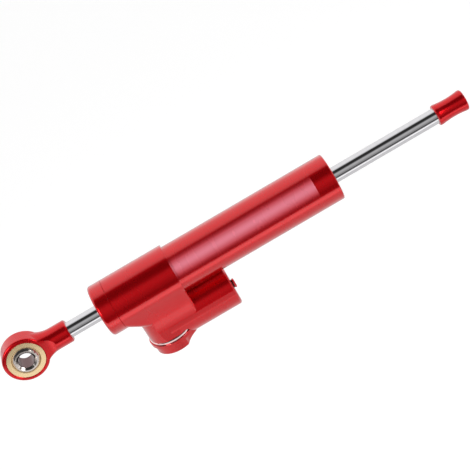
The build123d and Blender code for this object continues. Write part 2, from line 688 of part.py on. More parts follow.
# Adjuster knob: flange with the stop pin's groove, and a grip hollowed between its lobes
pin_room = stop_pin_d / 2 + stop_clear / 2
pin_room_turn = degrees(asin(pin_room / stop_circle_r))
lug_turn = 360 - knob_travel - 2 * pin_room_turn
lug_middle_turn = stop_pin_turn + pin_room_turn + lug_turn / 2
lug_width = 2 * stop_circle_r * sin(radians(lug_turn / 2))
with BuildPart() as adjuster_knob:
    with BuildSketch(Plane.XY.offset(knob_end_z)):
        with Locations((knob_x, 0)):
            Circle(grip_r)
            with PolarLocations(grip_r - lobe_hollow_depth + lobe_hollow_r, lobe_count, start_angle=lobe_turn):
                Circle(lobe_hollow_r, mode=Mode.SUBTRACT)
        fillet(vertices(), grip_edge)
    extrude(amount=grip_height)
    chamfer(adjuster_knob.faces().sort_by(Axis.Z)[0].edges(), edge_break)
    with BuildSketch(Plane.XY.offset(grip_top_z)):
        with Locations((knob_x, 0)):
            Circle(flange_r)
    extrude(amount=flange_thickness)
    flange_rims = adjuster_knob.edges().filter_by(lambda edge: edge.geom_type == GeomType.CIRCLE
                                                  and edge.radius > flange_r - seat_gap)
    fillet(flange_rims.sort_by(Axis.Z)[0], flange_rounding)
    with BuildSketch(Plane.XY.offset(flange_top_z)):
        with Locations((knob_x, 0)):
            Circle(stop_circle_r + pin_room)
            Circle(stop_circle_r - pin_room, mode=Mode.SUBTRACT)
        with Locations(Location((*polar(stop_circle_r, lug_middle_turn), 0), lug_middle_turn)):
            Rectangle(pin_room * 3, lug_width, mode=Mode.SUBTRACT)
    extrude(amount=-stop_pin_reach - stop_clear, mode=Mode.SUBTRACT)
    # bore with a flat for the spindle, and a counterbore for the screw
    with BuildSketch(Plane.XY.offset(flange_top_z)):
        with Locations((knob_x, 0)):
            Circle(stub_r + seat_gap)
        with Locations((knob_x, stub_r + seat_gap - stub_flat / 2)):
            Rectangle(stub_d, stub_flat, mode=Mode.SUBTRACT)
    extrude(amount=stub_end_z - flange_top_z - seat_gap, mode=Mode.SUBTRACT)
    with BuildSketch(Plane.XY.offset(knob_end_z)):
        with Locations((knob_x, 0)):
            Circle(knob_screw_head_d / 2 + seat_gap)
    extrude(amount=knob_screw_head, mode=Mode.SUBTRACT)
    with BuildSketch(Plane.XY.offset(knob_end_z)):
        with Locations((knob_x, 0)):
            Circle(knob_screw_d / 2 + seat_gap)
    extrude(amount=grip_height, mode=Mode.SUBTRACT)
    # blind hole for the click ball and its spring
    with BuildSketch(Plane.XY.offset(flange_top_z)):
        with Locations(polar(click_circle_r, 0)):
            Circle(click_ball_r + running_gap)
    extrude(amount=click_middle_z - click_ball_r - click_spring_length - flange_top_z, mode=Mode.SUBTRACT)
adjuster_knob.part.label = "adjuster_knob"
export_step(adjuster_knob.part, "parts/adjuster_knob.step")

with BuildPart() as knob_screw:
    with BuildSketch(Plane.XY.offset(knob_end_z)):
        with Locations((knob_x, 0)):
            Circle(knob_screw_head_d / 2)
    extrude(amount=knob_screw_head)
    chamfer(knob_screw.faces().sort_by(Axis.Z)[0].edges(), edge_break)
    with BuildSketch(Plane.XY.offset(knob_end_z + knob_screw_head)):
        with Locations((knob_x, 0)):
            Circle(knob_screw_d / 2)
    extrude(amount=knob_screw_length)
    with BuildSketch(Plane.XY.offset(knob_end_z)):
        with Locations((knob_x, 0)):
            RegularPolygon(small_hex_flats / 2, 6, major_radius=False)
    extrude(amount=small_hex_depth, mode=Mode.SUBTRACT)
knob_screw.part.label = "knob_screw"
export_step(knob_screw.part, "parts/knob_screw.step")

# Valve spindle: a rotary valve with a cross slot that opens the oil ways
spindle_groove_z = boss_end_z + seat_gap
with BuildPart() as valve_spindle:
    with BuildSketch(Plane.XY.offset(boss_end_z + seat_gap)):
        with Locations((knob_x, 0)):
            Circle(spindle_r)
    extrude(amount=spindle_top_z - boss_end_z - stop_clear)
    with BuildSketch(Plane.XY.offset(boss_end_z + seat_gap)):
        with Locations((knob_x, 0)):
            Circle(stub_r)
        with Locations((knob_x, stub_r - stub_flat / 2)):
            Rectangle(stub_d, stub_flat, mode=Mode.SUBTRACT)
    extrude(amount=stub_end_z - boss_end_z)
    with BuildSketch(Plane.XY.offset(spindle_top_z)):
        with Locations((knob_x, 0)):
            Circle(oil_way_d / 2)
    extrude(amount=reservoir_z - spindle_top_z - oil_way_d / 2, mode=Mode.SUBTRACT)
    with BuildSketch(Plane.YZ.offset(knob_x)):
        with Locations((0, reservoir_z)):
            Rectangle(metering_slot, oil_way_d)
    extrude(amount=spindle_r + overrun, mode=Mode.SUBTRACT)
    with BuildSketch(Plane.XY.offset(spindle_groove_z)):
        with Locations((knob_x, 0)):
            Circle(spindle_r + overrun)
            Circle(spindle_r - spindle_o_ring_d, mode=Mode.SUBTRACT)
    extrude(amount=spindle_groove, mode=Mode.SUBTRACT)
    with BuildSketch(Plane.XY.offset(stub_end_z)):
        with Locations((knob_x, 0)):
            Circle(knob_screw_d / 2 + seat_gap)
    extrude(amount=knob_screw_length, mode=Mode.SUBTRACT)
valve_spindle.part.label = "valve_spindle"
export_step(valve_spindle.part, "parts/valve_spindle.step")

with BuildPart() as spindle_o_ring:
    with BuildSketch(Plane.XZ):
        with Locations((knob_x + spindle_r - spindle_o_ring_d / 2, spindle_groove_z + spindle_groove / 2)):
            Circle(spindle_o_ring_d / 2 - seat_gap)
    revolve(axis=Axis((knob_x, 0, 0), (0, 0, 1)))
spindle_o_ring.part.label = "spindle_o_ring"
export_step(spindle_o_ring.part, "parts/spindle_o_ring.step")

with BuildPart() as click_ball:
    with Locations((*polar(click_circle_r, 0), click_middle_z)):
        Sphere(click_ball_r)
click_ball.part.label = "click_ball"
export_step(click_ball.part, "parts/click_ball.step")

# Click spring, under the ball in the knob
click_spring_r = click_ball_r - click_spring_wire_d / 2 - seat_gap
click_spring_z = click_middle_z - click_ball_r - click_spring_length + click_spring_wire_d / 2
click_rise = click_spring_length - click_spring_wire_d
click_path = coil_path(Plane((*polar(click_circle_r, 0), click_spring_z)), click_spring_r, click_rise,
                       click_spring_turns)
with BuildPart() as click_spring:
    with BuildSketch(Plane(click_path @ 0, z_dir=click_path % 0)):
        Circle(click_spring_wire_d / 2)
    sweep(path=click_path)
click_spring.part.label = "click_spring"
export_step(click_spring.part, "parts/click_spring.step")

# Floating piston, with a cup for its spring
float_start_x = reservoir_floor_x + float_room
float_end_x = float_start_x + float_length
float_r = reservoir_bore_r - running_gap
float_groove_x = float_start_x + edge_break
reservoir_axis = Axis((0, 0, reservoir_z), (1, 0, 0))
reservoir_plane = Plane((0, 0, reservoir_z), x_dir=(1, 0, 0), z_dir=(0, -1, 0))
with BuildPart() as floating_piston:
    with BuildSketch(reservoir_plane):
        ring_profile(float_start_x, float_end_x, 0, float_r)
        ring_profile(float_end_x - float_cup_depth, float_end_x, 0, float_r - float_cup_wall, mode=Mode.SUBTRACT)
        ring_profile(float_groove_x, float_groove_x + o_ring_groove, float_r - o_ring_d, float_r,
                     mode=Mode.SUBTRACT)
    revolve(axis=reservoir_axis)
floating_piston.part.label = "floating_piston"
export_step(floating_piston.part, "parts/floating_piston.step")

# Reservoir plug, with the filler hole through it
plug_start_x = reservoir_end_x - plug_length
plug_groove_x = plug_start_x + edge_break
plug_r = reservoir_bore_r - seat_gap
with BuildPart() as reservoir_plug:
    with BuildSketch(reservoir_plane):
        ring_profile(plug_start_x, reservoir_end_x, filler_d / 2 + seat_gap, plug_r)
        ring_profile(plug_groove_x, plug_groove_x + o_ring_groove, plug_r - o_ring_d, plug_r, mode=Mode.SUBTRACT)
    revolve(axis=reservoir_axis)
    with BuildSketch(Plane.YZ.offset(reservoir_end_x)):
        with Locations((0, reservoir_z)):
            with PolarLocations((plug_r + filler_head_d / 2) / 2, 2):
                Circle(pin_hole_d / 2)
    extrude(amount=-pin_hole_depth, mode=Mode.SUBTRACT)
reservoir_plug.part.label = "reservoir_plug"
export_step(reservoir_plug.part, "parts/reservoir_plug.step")

for name, groove_x, wall_r in (
    ("floating_piston_o_ring", float_groove_x, float_r),
    ("reservoir_plug_o_ring", plug_groove_x, reservoir_bore_r),
):
    with BuildPart() as o_ring:
        with BuildSketch(reservoir_plane):
            with Locations((groove_x + o_ring_groove / 2, wall_r - o_ring_r)):
                Circle(o_ring_r - seat_gap)
        revolve(axis=reservoir_axis)
    o_ring.part.label = name
    export_step(o_ring.part, f"parts/{name}.step")

# Filler screw with its O-ring
filler_seat_x = reservoir_end_x + filler_o_ring_d
with BuildPart() as filler_screw:
    with BuildSketch(reservoir_plane):
        ring_profile(filler_seat_x - filler_length, filler_seat_x, 0, filler_d / 2)
        ring_profile(filler_seat_x, filler_seat_x + filler_head, 0, filler_head_d / 2)
    revolve(axis=reservoir_axis)
    fillet(filler_screw.edges().filter_by(GeomType.CIRCLE).sort_by(Axis.X)[-1], filler_head / 2)
    with BuildSketch(Plane.YZ.offset(filler_seat_x + filler_head)):
        with Locations((0, reservoir_z)):
            RegularPolygon(small_hex_flats / 2, 6, major_radius=False)
    extrude(amount=-small_hex_depth, mode=Mode.SUBTRACT)
filler_screw.part.label = "filler_screw"
export_step(filler_screw.part, "parts/filler_screw.step")

with BuildPart() as filler_o_ring:
    with BuildSketch(reservoir_plane):
        with Locations((reservoir_end_x + filler_o_ring_d / 2, filler_d / 2 + filler_o_ring_d / 2 + seat_gap)):
            Circle(filler_o_ring_d / 2)
    revolve(axis=reservoir_axis)
filler_o_ring.part.label = "filler_o_ring"
export_step(filler_o_ring.part, "parts/filler_o_ring.step")

# Reservoir spring, from the floating piston's cup to the plug
spring_start_x = float_end_x - float_cup_depth + reservoir_wire_d / 2
spring_rise = plug_start_x - reservoir_wire_d / 2 - spring_start_x
spring_r = (reservoir_spring_d - reservoir_wire_d) / 2
spring_path = coil_path(Plane((spring_start_x, 0, reservoir_z), z_dir=(1, 0, 0)), spring_r, spring_rise,
                        reservoir_spring_turns)
with BuildPart() as reservoir_spring:
    with BuildSketch(Plane(spring_path @ 0, z_dir=spring_path % 0)):
        Circle(reservoir_wire_d / 2)
    sweep(path=spring_path)
reservoir_spring.part.label = "reservoir_spring"
export_step(reservoir_spring.part, "parts/reservoir_spring.step")
print("least gap between turns, reservoir spring:", spring_rise / reservoir_spring_turns - reservoir_wire_d)
print("least gap between turns, click spring:", click_rise / click_spring_turns - click_spring_wire_d)
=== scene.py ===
import math

import bmesh
import bpy
from mathutils import Matrix, Vector


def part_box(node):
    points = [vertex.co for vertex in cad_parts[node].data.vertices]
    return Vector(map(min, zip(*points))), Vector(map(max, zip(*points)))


bl_info = {
    "name": "Steering Damper Finishes",
    "version": (1, 0, 0),
    "blender": (4, 5, 0),
    "location": "3D View > Sidebar > Damper",
    "description": "Finishes and studio for a steering damper with a side reservoir",
    "category": "Material",
}

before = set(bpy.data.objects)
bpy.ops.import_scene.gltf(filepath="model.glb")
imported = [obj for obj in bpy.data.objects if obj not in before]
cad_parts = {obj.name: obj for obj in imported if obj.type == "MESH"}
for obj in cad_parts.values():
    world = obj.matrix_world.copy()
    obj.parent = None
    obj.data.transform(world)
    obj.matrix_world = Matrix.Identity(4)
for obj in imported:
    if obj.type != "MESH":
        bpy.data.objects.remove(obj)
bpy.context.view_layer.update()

# Which node gets which finish.
RED_HOUSING = ("valve_head", "front_cap", "rear_gland")
RED_TUBE = ("outer_tube",)
RED_ROD_PARTS = ("rod_end_body", "end_stop")
RED_ADJUSTER = ("adjuster_knob",)
RED_PLUGS = ("filler_screw", "reservoir_plug")
POLISHED_PLATE = ("index_plate",)
BARE_TURNED = ("inner_cylinder", "piston", "floating_piston")
HARD_CHROME = ("piston_rod",)
BALL_STEEL = ("rod_end_ball", "click_ball")
RACE_GOLD = ("rod_end_race",)
TURNED_BRASS = ("valve_spindle",)
BUSH_BRONZE = ("front_rod_bush", "rear_rod_bush", "piston_ring")
DARK_STEEL = ("index_plate_screws", "knob_screw", "stop_pin", "piston_circlips")
SPRING_STEEL = ("reservoir_spring", "click_spring")
SEAL_RUBBER = (
    "front_rod_seal", "rear_rod_seal", "front_wiper", "rear_wiper", "front_cap_o_ring",
    "rear_gland_o_ring", "spindle_o_ring", "floating_piston_o_ring", "reservoir_plug_o_ring",
    "filler_o_ring",
)

# A noise texture mostly gives values between these.
NOISE_LOW, NOISE_HIGH = 0.3, 0.7

# How often the slow bands along a turned piece change, as a share of its fine marks.
BAND_RATE = 0.04

# The tube's highlight, a pale pink painted into its colour where it faces the viewer: how fast
# the painted colour and the lowered metal share fall off to the sides, and how much of it reflects
# as metal.
HIGHLIGHT_FALL, HIGHLIGHT_METAL_FALL = 30.0, 11.0
HIGHLIGHT_METAL = 0.08

# The clear layer is thin where the surface faces the viewer and full where it turns away,
# both told by 1 minus the cosine of the angle. It goes over to full at the seal depth
# within twice the blend.
SEAL_THIN = 0.12
SEAL_FACING, SEAL_TURNED = 0.09, 0.17
SEAL_BLEND = 0.0006

# The room's brightness in reflections, by the angle round the rod in degrees:
# 0 is level towards the camera and 90 is up.
ROOM_LEVELS = (
    (-180, 1.0), (-90, 0.9), (-41, 0.9), (-35, 0.75), (-29, 0.12), (-10, 0.1),
    (-3, 0.34), (6, 0.36), (20, 0.56), (35, 0.58), (49, 0.04), (74, 0.03),
    (82, 0.05), (89, 0.6), (98, 1.0), (112, 1.1), (180, 1.05),
)

# The floor's grey, what it adds for the camera and for mirrored rays, and half its edge in metres.
FLOOR_GREY = (0.55, 0.55, 0.55, 1)
FLOOR_SEEN, FLOOR_MIRRORED = 0.6, 0.33
FLOOR_HALF = 2.0

# Where the right side softbox stands, in metres; the left one mirrors it in X.
SIDE_PLACE = (0.5, -0.42, 0.26)

# The camera's sensor, in millimetres.
SENSOR_WIDTH = 36


class DamperFinishSettings(bpy.types.PropertyGroup):
    red_colour: bpy.props.FloatVectorProperty(
        name="Anodised red", description="Colour of the dyed and sealed aluminium",
        subtype="COLOR", size=4, min=0, max=1, default=(0.67, 0.003, 0.007, 1))
    red_roughness: bpy.props.FloatProperty(
        name="Red roughness", description="Satin of the metal under the sealed layer",
        subtype="FACTOR", min=0, max=1, default=0.26)
    # Painted highlight: a pale pink painted into the tube's colour where it faces the viewer.
    painted_highlight_colour: bpy.props.FloatVectorProperty(
        name="Painted highlight", description="Colour painted on the tube where it faces the viewer, as a highlight",
        subtype="COLOR", size=4, min=0, max=1, default=(1.0, 0.27, 0.35, 1))
    red_metal: bpy.props.FloatProperty(
        name="Red metal", description="How far the red reflects as metal, the rest as dye",
        subtype="FACTOR", min=0, max=1, default=0.76)
    seal_roughness: bpy.props.FloatProperty(
        name="Seal roughness", description="Roughness of the clear sealed layer",
        subtype="FACTOR", min=0, max=1, default=0.08)
    # Where the tube's painted highlight stops: its end is left like the head.
    highlight_free_end: bpy.props.FloatProperty(
        name="Unhighlighted end", description="Length of the tube's end left without the painted highlight, like the head",
        subtype="DISTANCE", unit="LENGTH", min=0, default=0.0104)
    seal_depth: bpy.props.FloatProperty(
        name="Seal depth", description="How far below the rod's axis the clear layer is full",
        subtype="DISTANCE", unit="LENGTH", min=0, default=0.0213)
    plate_colour: bpy.props.FloatVectorProperty(
        name="Index plate", description="Colour of the ring between boss and knob",
        subtype="COLOR", size=4, min=0, max=1, default=(1.0, 0.78, 0.77, 1))
    bare_colour: bpy.props.FloatVectorProperty(
        name="Bare aluminium", description="Colour of the turned inner pieces",
        subtype="COLOR", size=4, min=0, max=1, default=(0.78, 0.77, 0.78, 1))
    chrome_colour: bpy.props.FloatVectorProperty(
        name="Hard chrome", description="Colour of the polished rod",
        subtype="COLOR", size=4, min=0, max=1, default=(0.7, 0.69, 0.71, 1))
    ball_colour: bpy.props.FloatVectorProperty(
        name="Ball steel", description="Colour of the bored ball",
        subtype="COLOR", size=4, min=0, max=1, default=(0.68, 0.62, 0.58, 1))
    # Painted shade: a dark colour painted inside the ball's bore, where shade falls.
    bore_shade_colour: bpy.props.FloatVectorProperty(
        name="Bore", description="Shade painted inside the ball's bore",
        subtype="COLOR", size=4, min=0, max=1, default=(0.16, 0.1, 0.1, 1))
    bore_radius: bpy.props.FloatProperty(
        name="Bore radius", description="How far from the bore's axis the painted shade reaches",
        subtype="DISTANCE", unit="LENGTH", min=0, default=0.00406)
    race_colour: bpy.props.FloatVectorProperty(
        name="Race gold", description="Colour of the ball's race",
        subtype="COLOR", size=4, min=0, max=1, default=(1.0, 0.76, 0.44, 1))
    groove_pitch: bpy.props.FloatProperty(
        name="Turning pitch", description="Distance between the fine marks of the lathe",
        subtype="DISTANCE", unit="LENGTH", min=0.00005, default=0.00035)


class DamperStudioSettings(bpy.types.PropertyGroup):
    camera_distance: bpy.props.FloatProperty(
        name="Camera distance", description="From the camera to the middle of the view",
        subtype="DISTANCE", unit="LENGTH", min=0.1, default=0.6685)
    camera_lens: bpy.props.FloatProperty(
        name="Lens", description="Focal length in millimetres on a 36 mm sensor",
        min=20, default=107.2)
    camera_height: bpy.props.FloatProperty(
        name="Camera height", description="Angle of the view above level",
        subtype="ANGLE", unit="ROTATION", default=math.radians(30.0))
    camera_roll: bpy.props.FloatProperty(
        name="Camera roll", description="Angle at which the rod rises across the picture",
        subtype="ANGLE", unit="ROTATION", default=math.radians(30.3))
    camera_aim: bpy.props.FloatVectorProperty(
        name="Camera aim", description="Point in the middle of the view",
        subtype="TRANSLATION", unit="LENGTH", size=3, precision=5,
        default=(-0.01035, -0.0004, -0.00069))
    floor_drop: bpy.props.FloatProperty(
        name="Floor drop", description="From the rod's axis down to the floor",
        subtype="DISTANCE", unit="LENGTH", min=0.04, default=0.19)
    floor_front: bpy.props.FloatProperty(
        name="Floor front", description="How far the floor reaches towards the camera",
        subtype="DISTANCE", unit="LENGTH", min=0.05, default=0.26)
    card_length: bpy.props.FloatProperty(
        name="Card length", description="Of the low lit card in front, along the rod",
        subtype="DISTANCE", unit="LENGTH", min=0.02, default=0.5)
    card_height: bpy.props.FloatProperty(
        name="Card height", description="From the card's lower edge to its upper one",
        subtype="DISTANCE", unit="LENGTH", min=0.005, default=0.03)
    card_top: bpy.props.FloatProperty(
        name="Card top", description="From the rod's axis down to the card's upper edge",
        subtype="DISTANCE", unit="LENGTH", min=0, default=0.0225)
    card_distance: bpy.props.FloatProperty(
        name="Card distance", description="From the rod's axis to the card",
        subtype="DISTANCE", unit="LENGTH", min=0.02, default=0.05)
    card_power: bpy.props.FloatProperty(
        name="Card power", description="Watts that the card sends back",
        min=0, default=0.027)
    side_power: bpy.props.FloatProperty(
        name="Side power", description="Watts of each of the two side softboxes",
        min=0, default=1.5)
    side_size: bpy.props.FloatProperty(
        name="Side size", description="Edge of each of the two side softboxes",
        subtype="DISTANCE", unit="LENGTH", min=0.02, default=0.3)


def material(name):
    """A new node material, with its shader, output and object coordinates."""
    made = bpy.data.materials.new(name)
    made.use_nodes = True
    tree = made.node_tree
    tree.nodes.clear()
    output = tree.nodes.new("ShaderNodeOutputMaterial")
    output.location = (700, 0)
    shader = tree.nodes.new("ShaderNodeBsdfPrincipled")
    shader.location = (400, 0)
    tree.links.new(shader.outputs["BSDF"], output.inputs["Surface"])
    place = tree.nodes.new("ShaderNodeTexCoord")
    place.location = (-900, 0)
    return made, tree, shader, place


def new_group(name, inputs, outputs):
    """An empty shader node group with named sockets: (name, socket type, default)."""
    group = bpy.data.node_groups.new(name, "ShaderNodeTree")
    for label, kind, default in inputs:
        socket = group.interface.new_socket(label, in_out="INPUT", socket_type=kind)
        if default is not None:
            socket.default_value = default
    for label, kind in outputs:
        group.interface.new_socket(label, in_out="OUTPUT", socket_type=kind)
    entry = group.nodes.new("NodeGroupInput")
    entry.location = (-900, 0)
    leave = group.nodes.new("NodeGroupOutput")
    leave.location = (600, 0)
    return group, entry, leave


def plug(tree, value, socket):
    """Links another node's output to the socket, or sets a number or colour there."""
    if hasattr(value, "is_output"):
        tree.links.new(value, socket)
    else:
        socket.default_value = value


def math_node(tree, operation, *values):
    """A Math node whose inputs are sockets or numbers."""
    node = tree.nodes.new("ShaderNodeMath")
    node.operation = operation
    for value, socket in zip(values, node.inputs):
        plug(tree, value, socket)
    return node.outputs[0]


def axes(tree, vector):
    """The vector's X, Y and Z."""
    split = tree.nodes.new("ShaderNodeSeparateXYZ")
    tree.links.new(vector, split.inputs[0])
    return split.outputs["X"], split.outputs["Y"], split.outputs["Z"]


def along_x(tree, value):
    """A vector with the value as its X."""
    node = tree.nodes.new("ShaderNodeCombineXYZ")
    tree.links.new(value, node.inputs["X"])
    return node.outputs[0]


def noise_node(tree, vector, scale, detail=3.0, roughness=0.5):
    """A Noise texture's value, from 0 to 1."""
    node = tree.nodes.new("ShaderNodeTexNoise")
    tree.links.new(vector, node.inputs["Vector"])
    plug(tree, scale, node.inputs["Scale"])
    node.inputs["Detail"].default_value = detail
    node.inputs["Roughness"].default_value = roughness
    return node.outputs["Fac"]


def turning_marks_group():
    """Fine marks of the lathe round an axis, with slow changes along it."""
    name = "Turning Marks"
    if name in bpy.data.node_groups:
        return bpy.data.node_groups[name]
    group, entry, leave = new_group(
        name,
        [("Vector", "NodeSocketVector", None), ("Pitch", "NodeSocketFloat", 0.0004)],
        [("Marks", "NodeSocketFloat"), ("Bands", "NodeSocketFloat")])
    x, _, _ = axes(group, entry.outputs["Vector"])
    steps = math_node(group, "DIVIDE", x, entry.outputs["Pitch"])
    slow_steps = math_node(group, "MULTIPLY", steps, BAND_RATE)
    marks = noise_node(group, along_x(group, steps), scale=1.0, detail=4.0, roughness=0.65)
    bands = noise_node(group, along_x(group, slow_steps), scale=1.0, detail=2.0)
    group.links.new(marks, leave.inputs["Marks"])
    group.links.new(bands, leave.inputs["Bands"])
    return group


def handling_group():
    """Faint smears of handling, and a fine grain as blasting leaves it."""
    name = "Handling And Grain"
    if name in bpy.data.node_groups:
        return bpy.data.node_groups[name]
    group, entry, leave = new_group(
        name,
        [("Vector", "NodeSocketVector", None), ("Grain Scale", "NodeSocketFloat", 4000.0)],
        [("Smears", "NodeSocketFloat"), ("Grain", "NodeSocketFloat")])
    smears = noise_node(group, entry.outputs["Vector"], scale=60.0, detail=4.0, roughness=0.55)
    grain = noise_node(
        group, entry.outputs["Vector"], entry.outputs["Grain Scale"], detail=2.0, roughness=0.6)
    group.links.new(smears, leave.inputs["Smears"])
    group.links.new(grain, leave.inputs["Grain"])
    return group


def place_group(tree, group, vector, **values):
    """The group in a material, fed with coordinates and its own values."""
    node = tree.nodes.new("ShaderNodeGroup")
    node.node_tree = group
    node.location = (-600, 0)
    tree.links.new(vector, node.inputs["Vector"])
    for label, value in values.items():
        node.inputs[label.replace("_", " ")].default_value = value
    return node


def spread(tree, value, low, high, start=NOISE_LOW, end=NOISE_HIGH, kind="LINEAR"):
    """Maps a value that runs from start to end to low and high, and holds it between them."""
    node = tree.nodes.new("ShaderNodeMapRange")
    node.interpolation_type = kind
    tree.links.new(value, node.inputs["Value"])
    node.inputs["From Min"].default_value = start
    node.inputs["From Max"].default_value = end
    node.inputs["To Min"].default_value = low
    node.inputs["To Max"].default_value = high
    return node.outputs["Result"]


def tinted(tree, factor, first, second):
    """A colour between two colours or sockets, by a factor that changes over the surface."""
    node = tree.nodes.new("ShaderNodeMix")
    node.data_type = "RGBA"
    tree.links.new(factor, node.inputs["Factor"])
    plug(tree, first, node.inputs["A"])
    plug(tree, second, node.inputs["B"])
    return node.outputs["Result"]


def bumped(tree, shader, height, distance, strength):
    """A Bump node that feeds the shader's normal."""
    node = tree.nodes.new("ShaderNodeBump")
    node.inputs["Strength"].default_value = strength
    node.inputs["Distance"].default_value = distance
    tree.links.new(height, node.inputs["Height"])
    tree.links.new(node.outputs["Normal"], shader.inputs["Normal"])


def turned_vector(tree, place, turn):
    """Object coordinates turned so that the piece's own axis is X."""
    node = tree.nodes.new("ShaderNodeMapping")
    node.vector_type = "POINT"
    node.inputs["Rotation"].default_value = turn
    tree.links.new(place.outputs["Object"], node.inputs["Vector"])
    return node.outputs["Vector"]


def dim(colour, share):
    """A darker shade of the same colour."""
    return (colour[0] * share, colour[1] * share, colour[2] * share, 1.0)


def facing_away(tree):
    """1 minus the cosine of the angle between the surface and the viewer."""
    weight = tree.nodes.new("ShaderNodeLayerWeight")
    weight.inputs["Blend"].default_value = 0.5
    return weight.outputs["Facing"]


def painted_highlight_mask(tree, place, end_x, fall_off):
    """1 where the tube's painted highlight lies, facing the viewer, falling off to its sides, and
    0 past end_x.
    """
    x, _, _ = axes(tree, place.outputs["Object"])
    fall = math_node(tree, "EXPONENT", math_node(tree, "MULTIPLY", facing_away(tree), -fall_off))
    inside = math_node(tree, "LESS_THAN", x, end_x)
    return math_node(tree, "MULTIPLY", fall, inside)


def seal_weight(tree, place, depth, full):
    """The clear layer's weight: thin face on, full at a glance and below the depth."""
    _, _, z = axes(tree, place.outputs["Object"])
    depth_here = math_node(tree, "MULTIPLY", z, -1.0)
    glancing = spread(tree, facing_away(tree), 0.0, 1.0, SEAL_FACING, SEAL_TURNED, "SMOOTHSTEP")
    lower = spread(
        tree, depth_here, 0.0, 1.0, depth - SEAL_BLEND, depth + SEAL_BLEND, "SMOOTHSTEP")
    return spread(tree, math_node(tree, "MAXIMUM", glancing, lower), SEAL_THIN, full)


def anodised(name, settings, turn=(0, 0, 0), highlight_end=None, seal=1.0):
    """Red dyed aluminium: satin metal under a clear sealed layer, with a pale highlight painted
    where the tube faces the viewer when an end is given.
    """
    made, tree, shader, place = material(name)
    vector = turned_vector(tree, place, turn)
    marks = place_group(tree, turning_marks_group(), vector, Pitch=settings.groove_pitch)
    touch = place_group(tree, handling_group(), place.outputs["Object"], Grain_Scale=5200.0)
    red = tuple(settings.red_colour)
    metal = settings.red_metal
    colour = tinted(tree, spread(tree, touch.outputs["Smears"], 0.0, 1.0), dim(red, 0.94), red)
    # Painted highlight: pale pink colour and a lower metal share painted where the tube faces the
    # viewer.
    if highlight_end is not None:
        highlight_share = painted_highlight_mask(tree, place, highlight_end, HIGHLIGHT_FALL)
        dye = painted_highlight_mask(tree, place, highlight_end, HIGHLIGHT_METAL_FALL)
        colour = tinted(tree, highlight_share, colour, tuple(settings.painted_highlight_colour))
        metal = spread(tree, dye, metal, HIGHLIGHT_METAL)
    plug(tree, colour, shader.inputs["Base Color"])
    plug(tree, metal, shader.inputs["Metallic"])
    shader.inputs["Specular IOR Level"].default_value = 0.15
    satin = spread(tree, marks.outputs["Bands"],
                   settings.red_roughness - 0.02, settings.red_roughness + 0.03)
    smear = spread(tree, touch.outputs["Smears"], -0.015, 0.02)
    plug(tree, math_node(tree, "ADD", satin, smear), shader.inputs["Roughness"])
    plug(tree, seal_weight(tree, place, settings.seal_depth, seal), shader.inputs["Coat Weight"])
    shader.inputs["Coat Roughness"].default_value = settings.seal_roughness
    shader.inputs["Coat IOR"].default_value = 1.5
    relief = math_node(tree, "ADD", math_node(tree, "MULTIPLY", marks.outputs["Marks"], 0.5),
                       math_node(tree, "MULTIPLY", touch.outputs["Grain"], 0.5))
    bumped(tree, shader, relief, distance=0.000012, strength=0.35)
    return made


def bore_mask(tree, place, centre_x, radius):
    """1 within the radius of an axis that runs along Y through centre_x, and 0 outside."""
    x, _, z = axes(tree, place.outputs["Object"])
    across = math_node(tree, "SUBTRACT", x, centre_x)
    squares = math_node(tree, "ADD", math_node(tree, "MULTIPLY", across, across),
                        math_node(tree, "MULTIPLY", z, z))
    return math_node(tree, "LESS_THAN", squares, radius * radius)


def bare_metal(name, colour, roughness, pitch, turn=(0, 0, 0), depth=0.00001, bore=None):
    """Turned or ground metal without a coat; a bore is given as x, radius and the colour of the
    shade painted inside it.
    """
    made, tree, shader, place = material(name)
    vector = turned_vector(tree, place, turn)
    marks = place_group(tree, turning_marks_group(), vector, Pitch=pitch)
    touch = place_group(tree, handling_group(), place.outputs["Object"], Grain_Scale=6000.0)
    shade = tinted(tree, spread(tree, marks.outputs["Bands"], 0.0, 1.0), dim(colour, 0.93), colour)
    if bore is not None:
        # Painted shade: the bore is darkened within its radius, as shade falls inside it.
        centre_x, radius, dark = bore
        shade = tinted(tree, bore_mask(tree, place, centre_x, radius), shade, dark)
    plug(tree, shade, shader.inputs["Base Color"])
    shader.inputs["Metallic"].default_value = 1.0
    ground = spread(tree, marks.outputs["Marks"], roughness - 0.03, roughness + 0.04)
    smear = spread(tree, touch.outputs["Smears"], -0.02, 0.03)
    plug(tree, math_node(tree, "ADD", ground, smear), shader.inputs["Roughness"])
    bumped(tree, shader, marks.outputs["Marks"], distance=depth, strength=0.5)
    return made


def seal_rubber(name):
    """Black nitrile rubber with a soft sheen and fine pores."""
    made, tree, shader, place = material(name)
    touch = place_group(tree, handling_group(), place.outputs["Object"], Grain_Scale=3000.0)
    colour = tinted(tree, spread(tree, touch.outputs["Smears"], 0.0, 1.0),
                    (0.012, 0.012, 0.012, 1), (0.03, 0.03, 0.032, 1))
    plug(tree, colour, shader.inputs["Base Color"])
    plug(tree, spread(tree, touch.outputs["Grain"], 0.45, 0.62), shader.inputs["Roughness"])
    bumped(tree, shader, touch.outputs["Grain"], distance=0.00003, strength=0.4)
    return made


def dress(nodes, finish):
    """Gives each CAD node the finish, in every material slot that it has."""
    for name in nodes:
        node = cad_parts[name]
        if not node.material_slots:
            node.data.materials.append(finish)
        for held in node.material_slots:
            held.material = finish


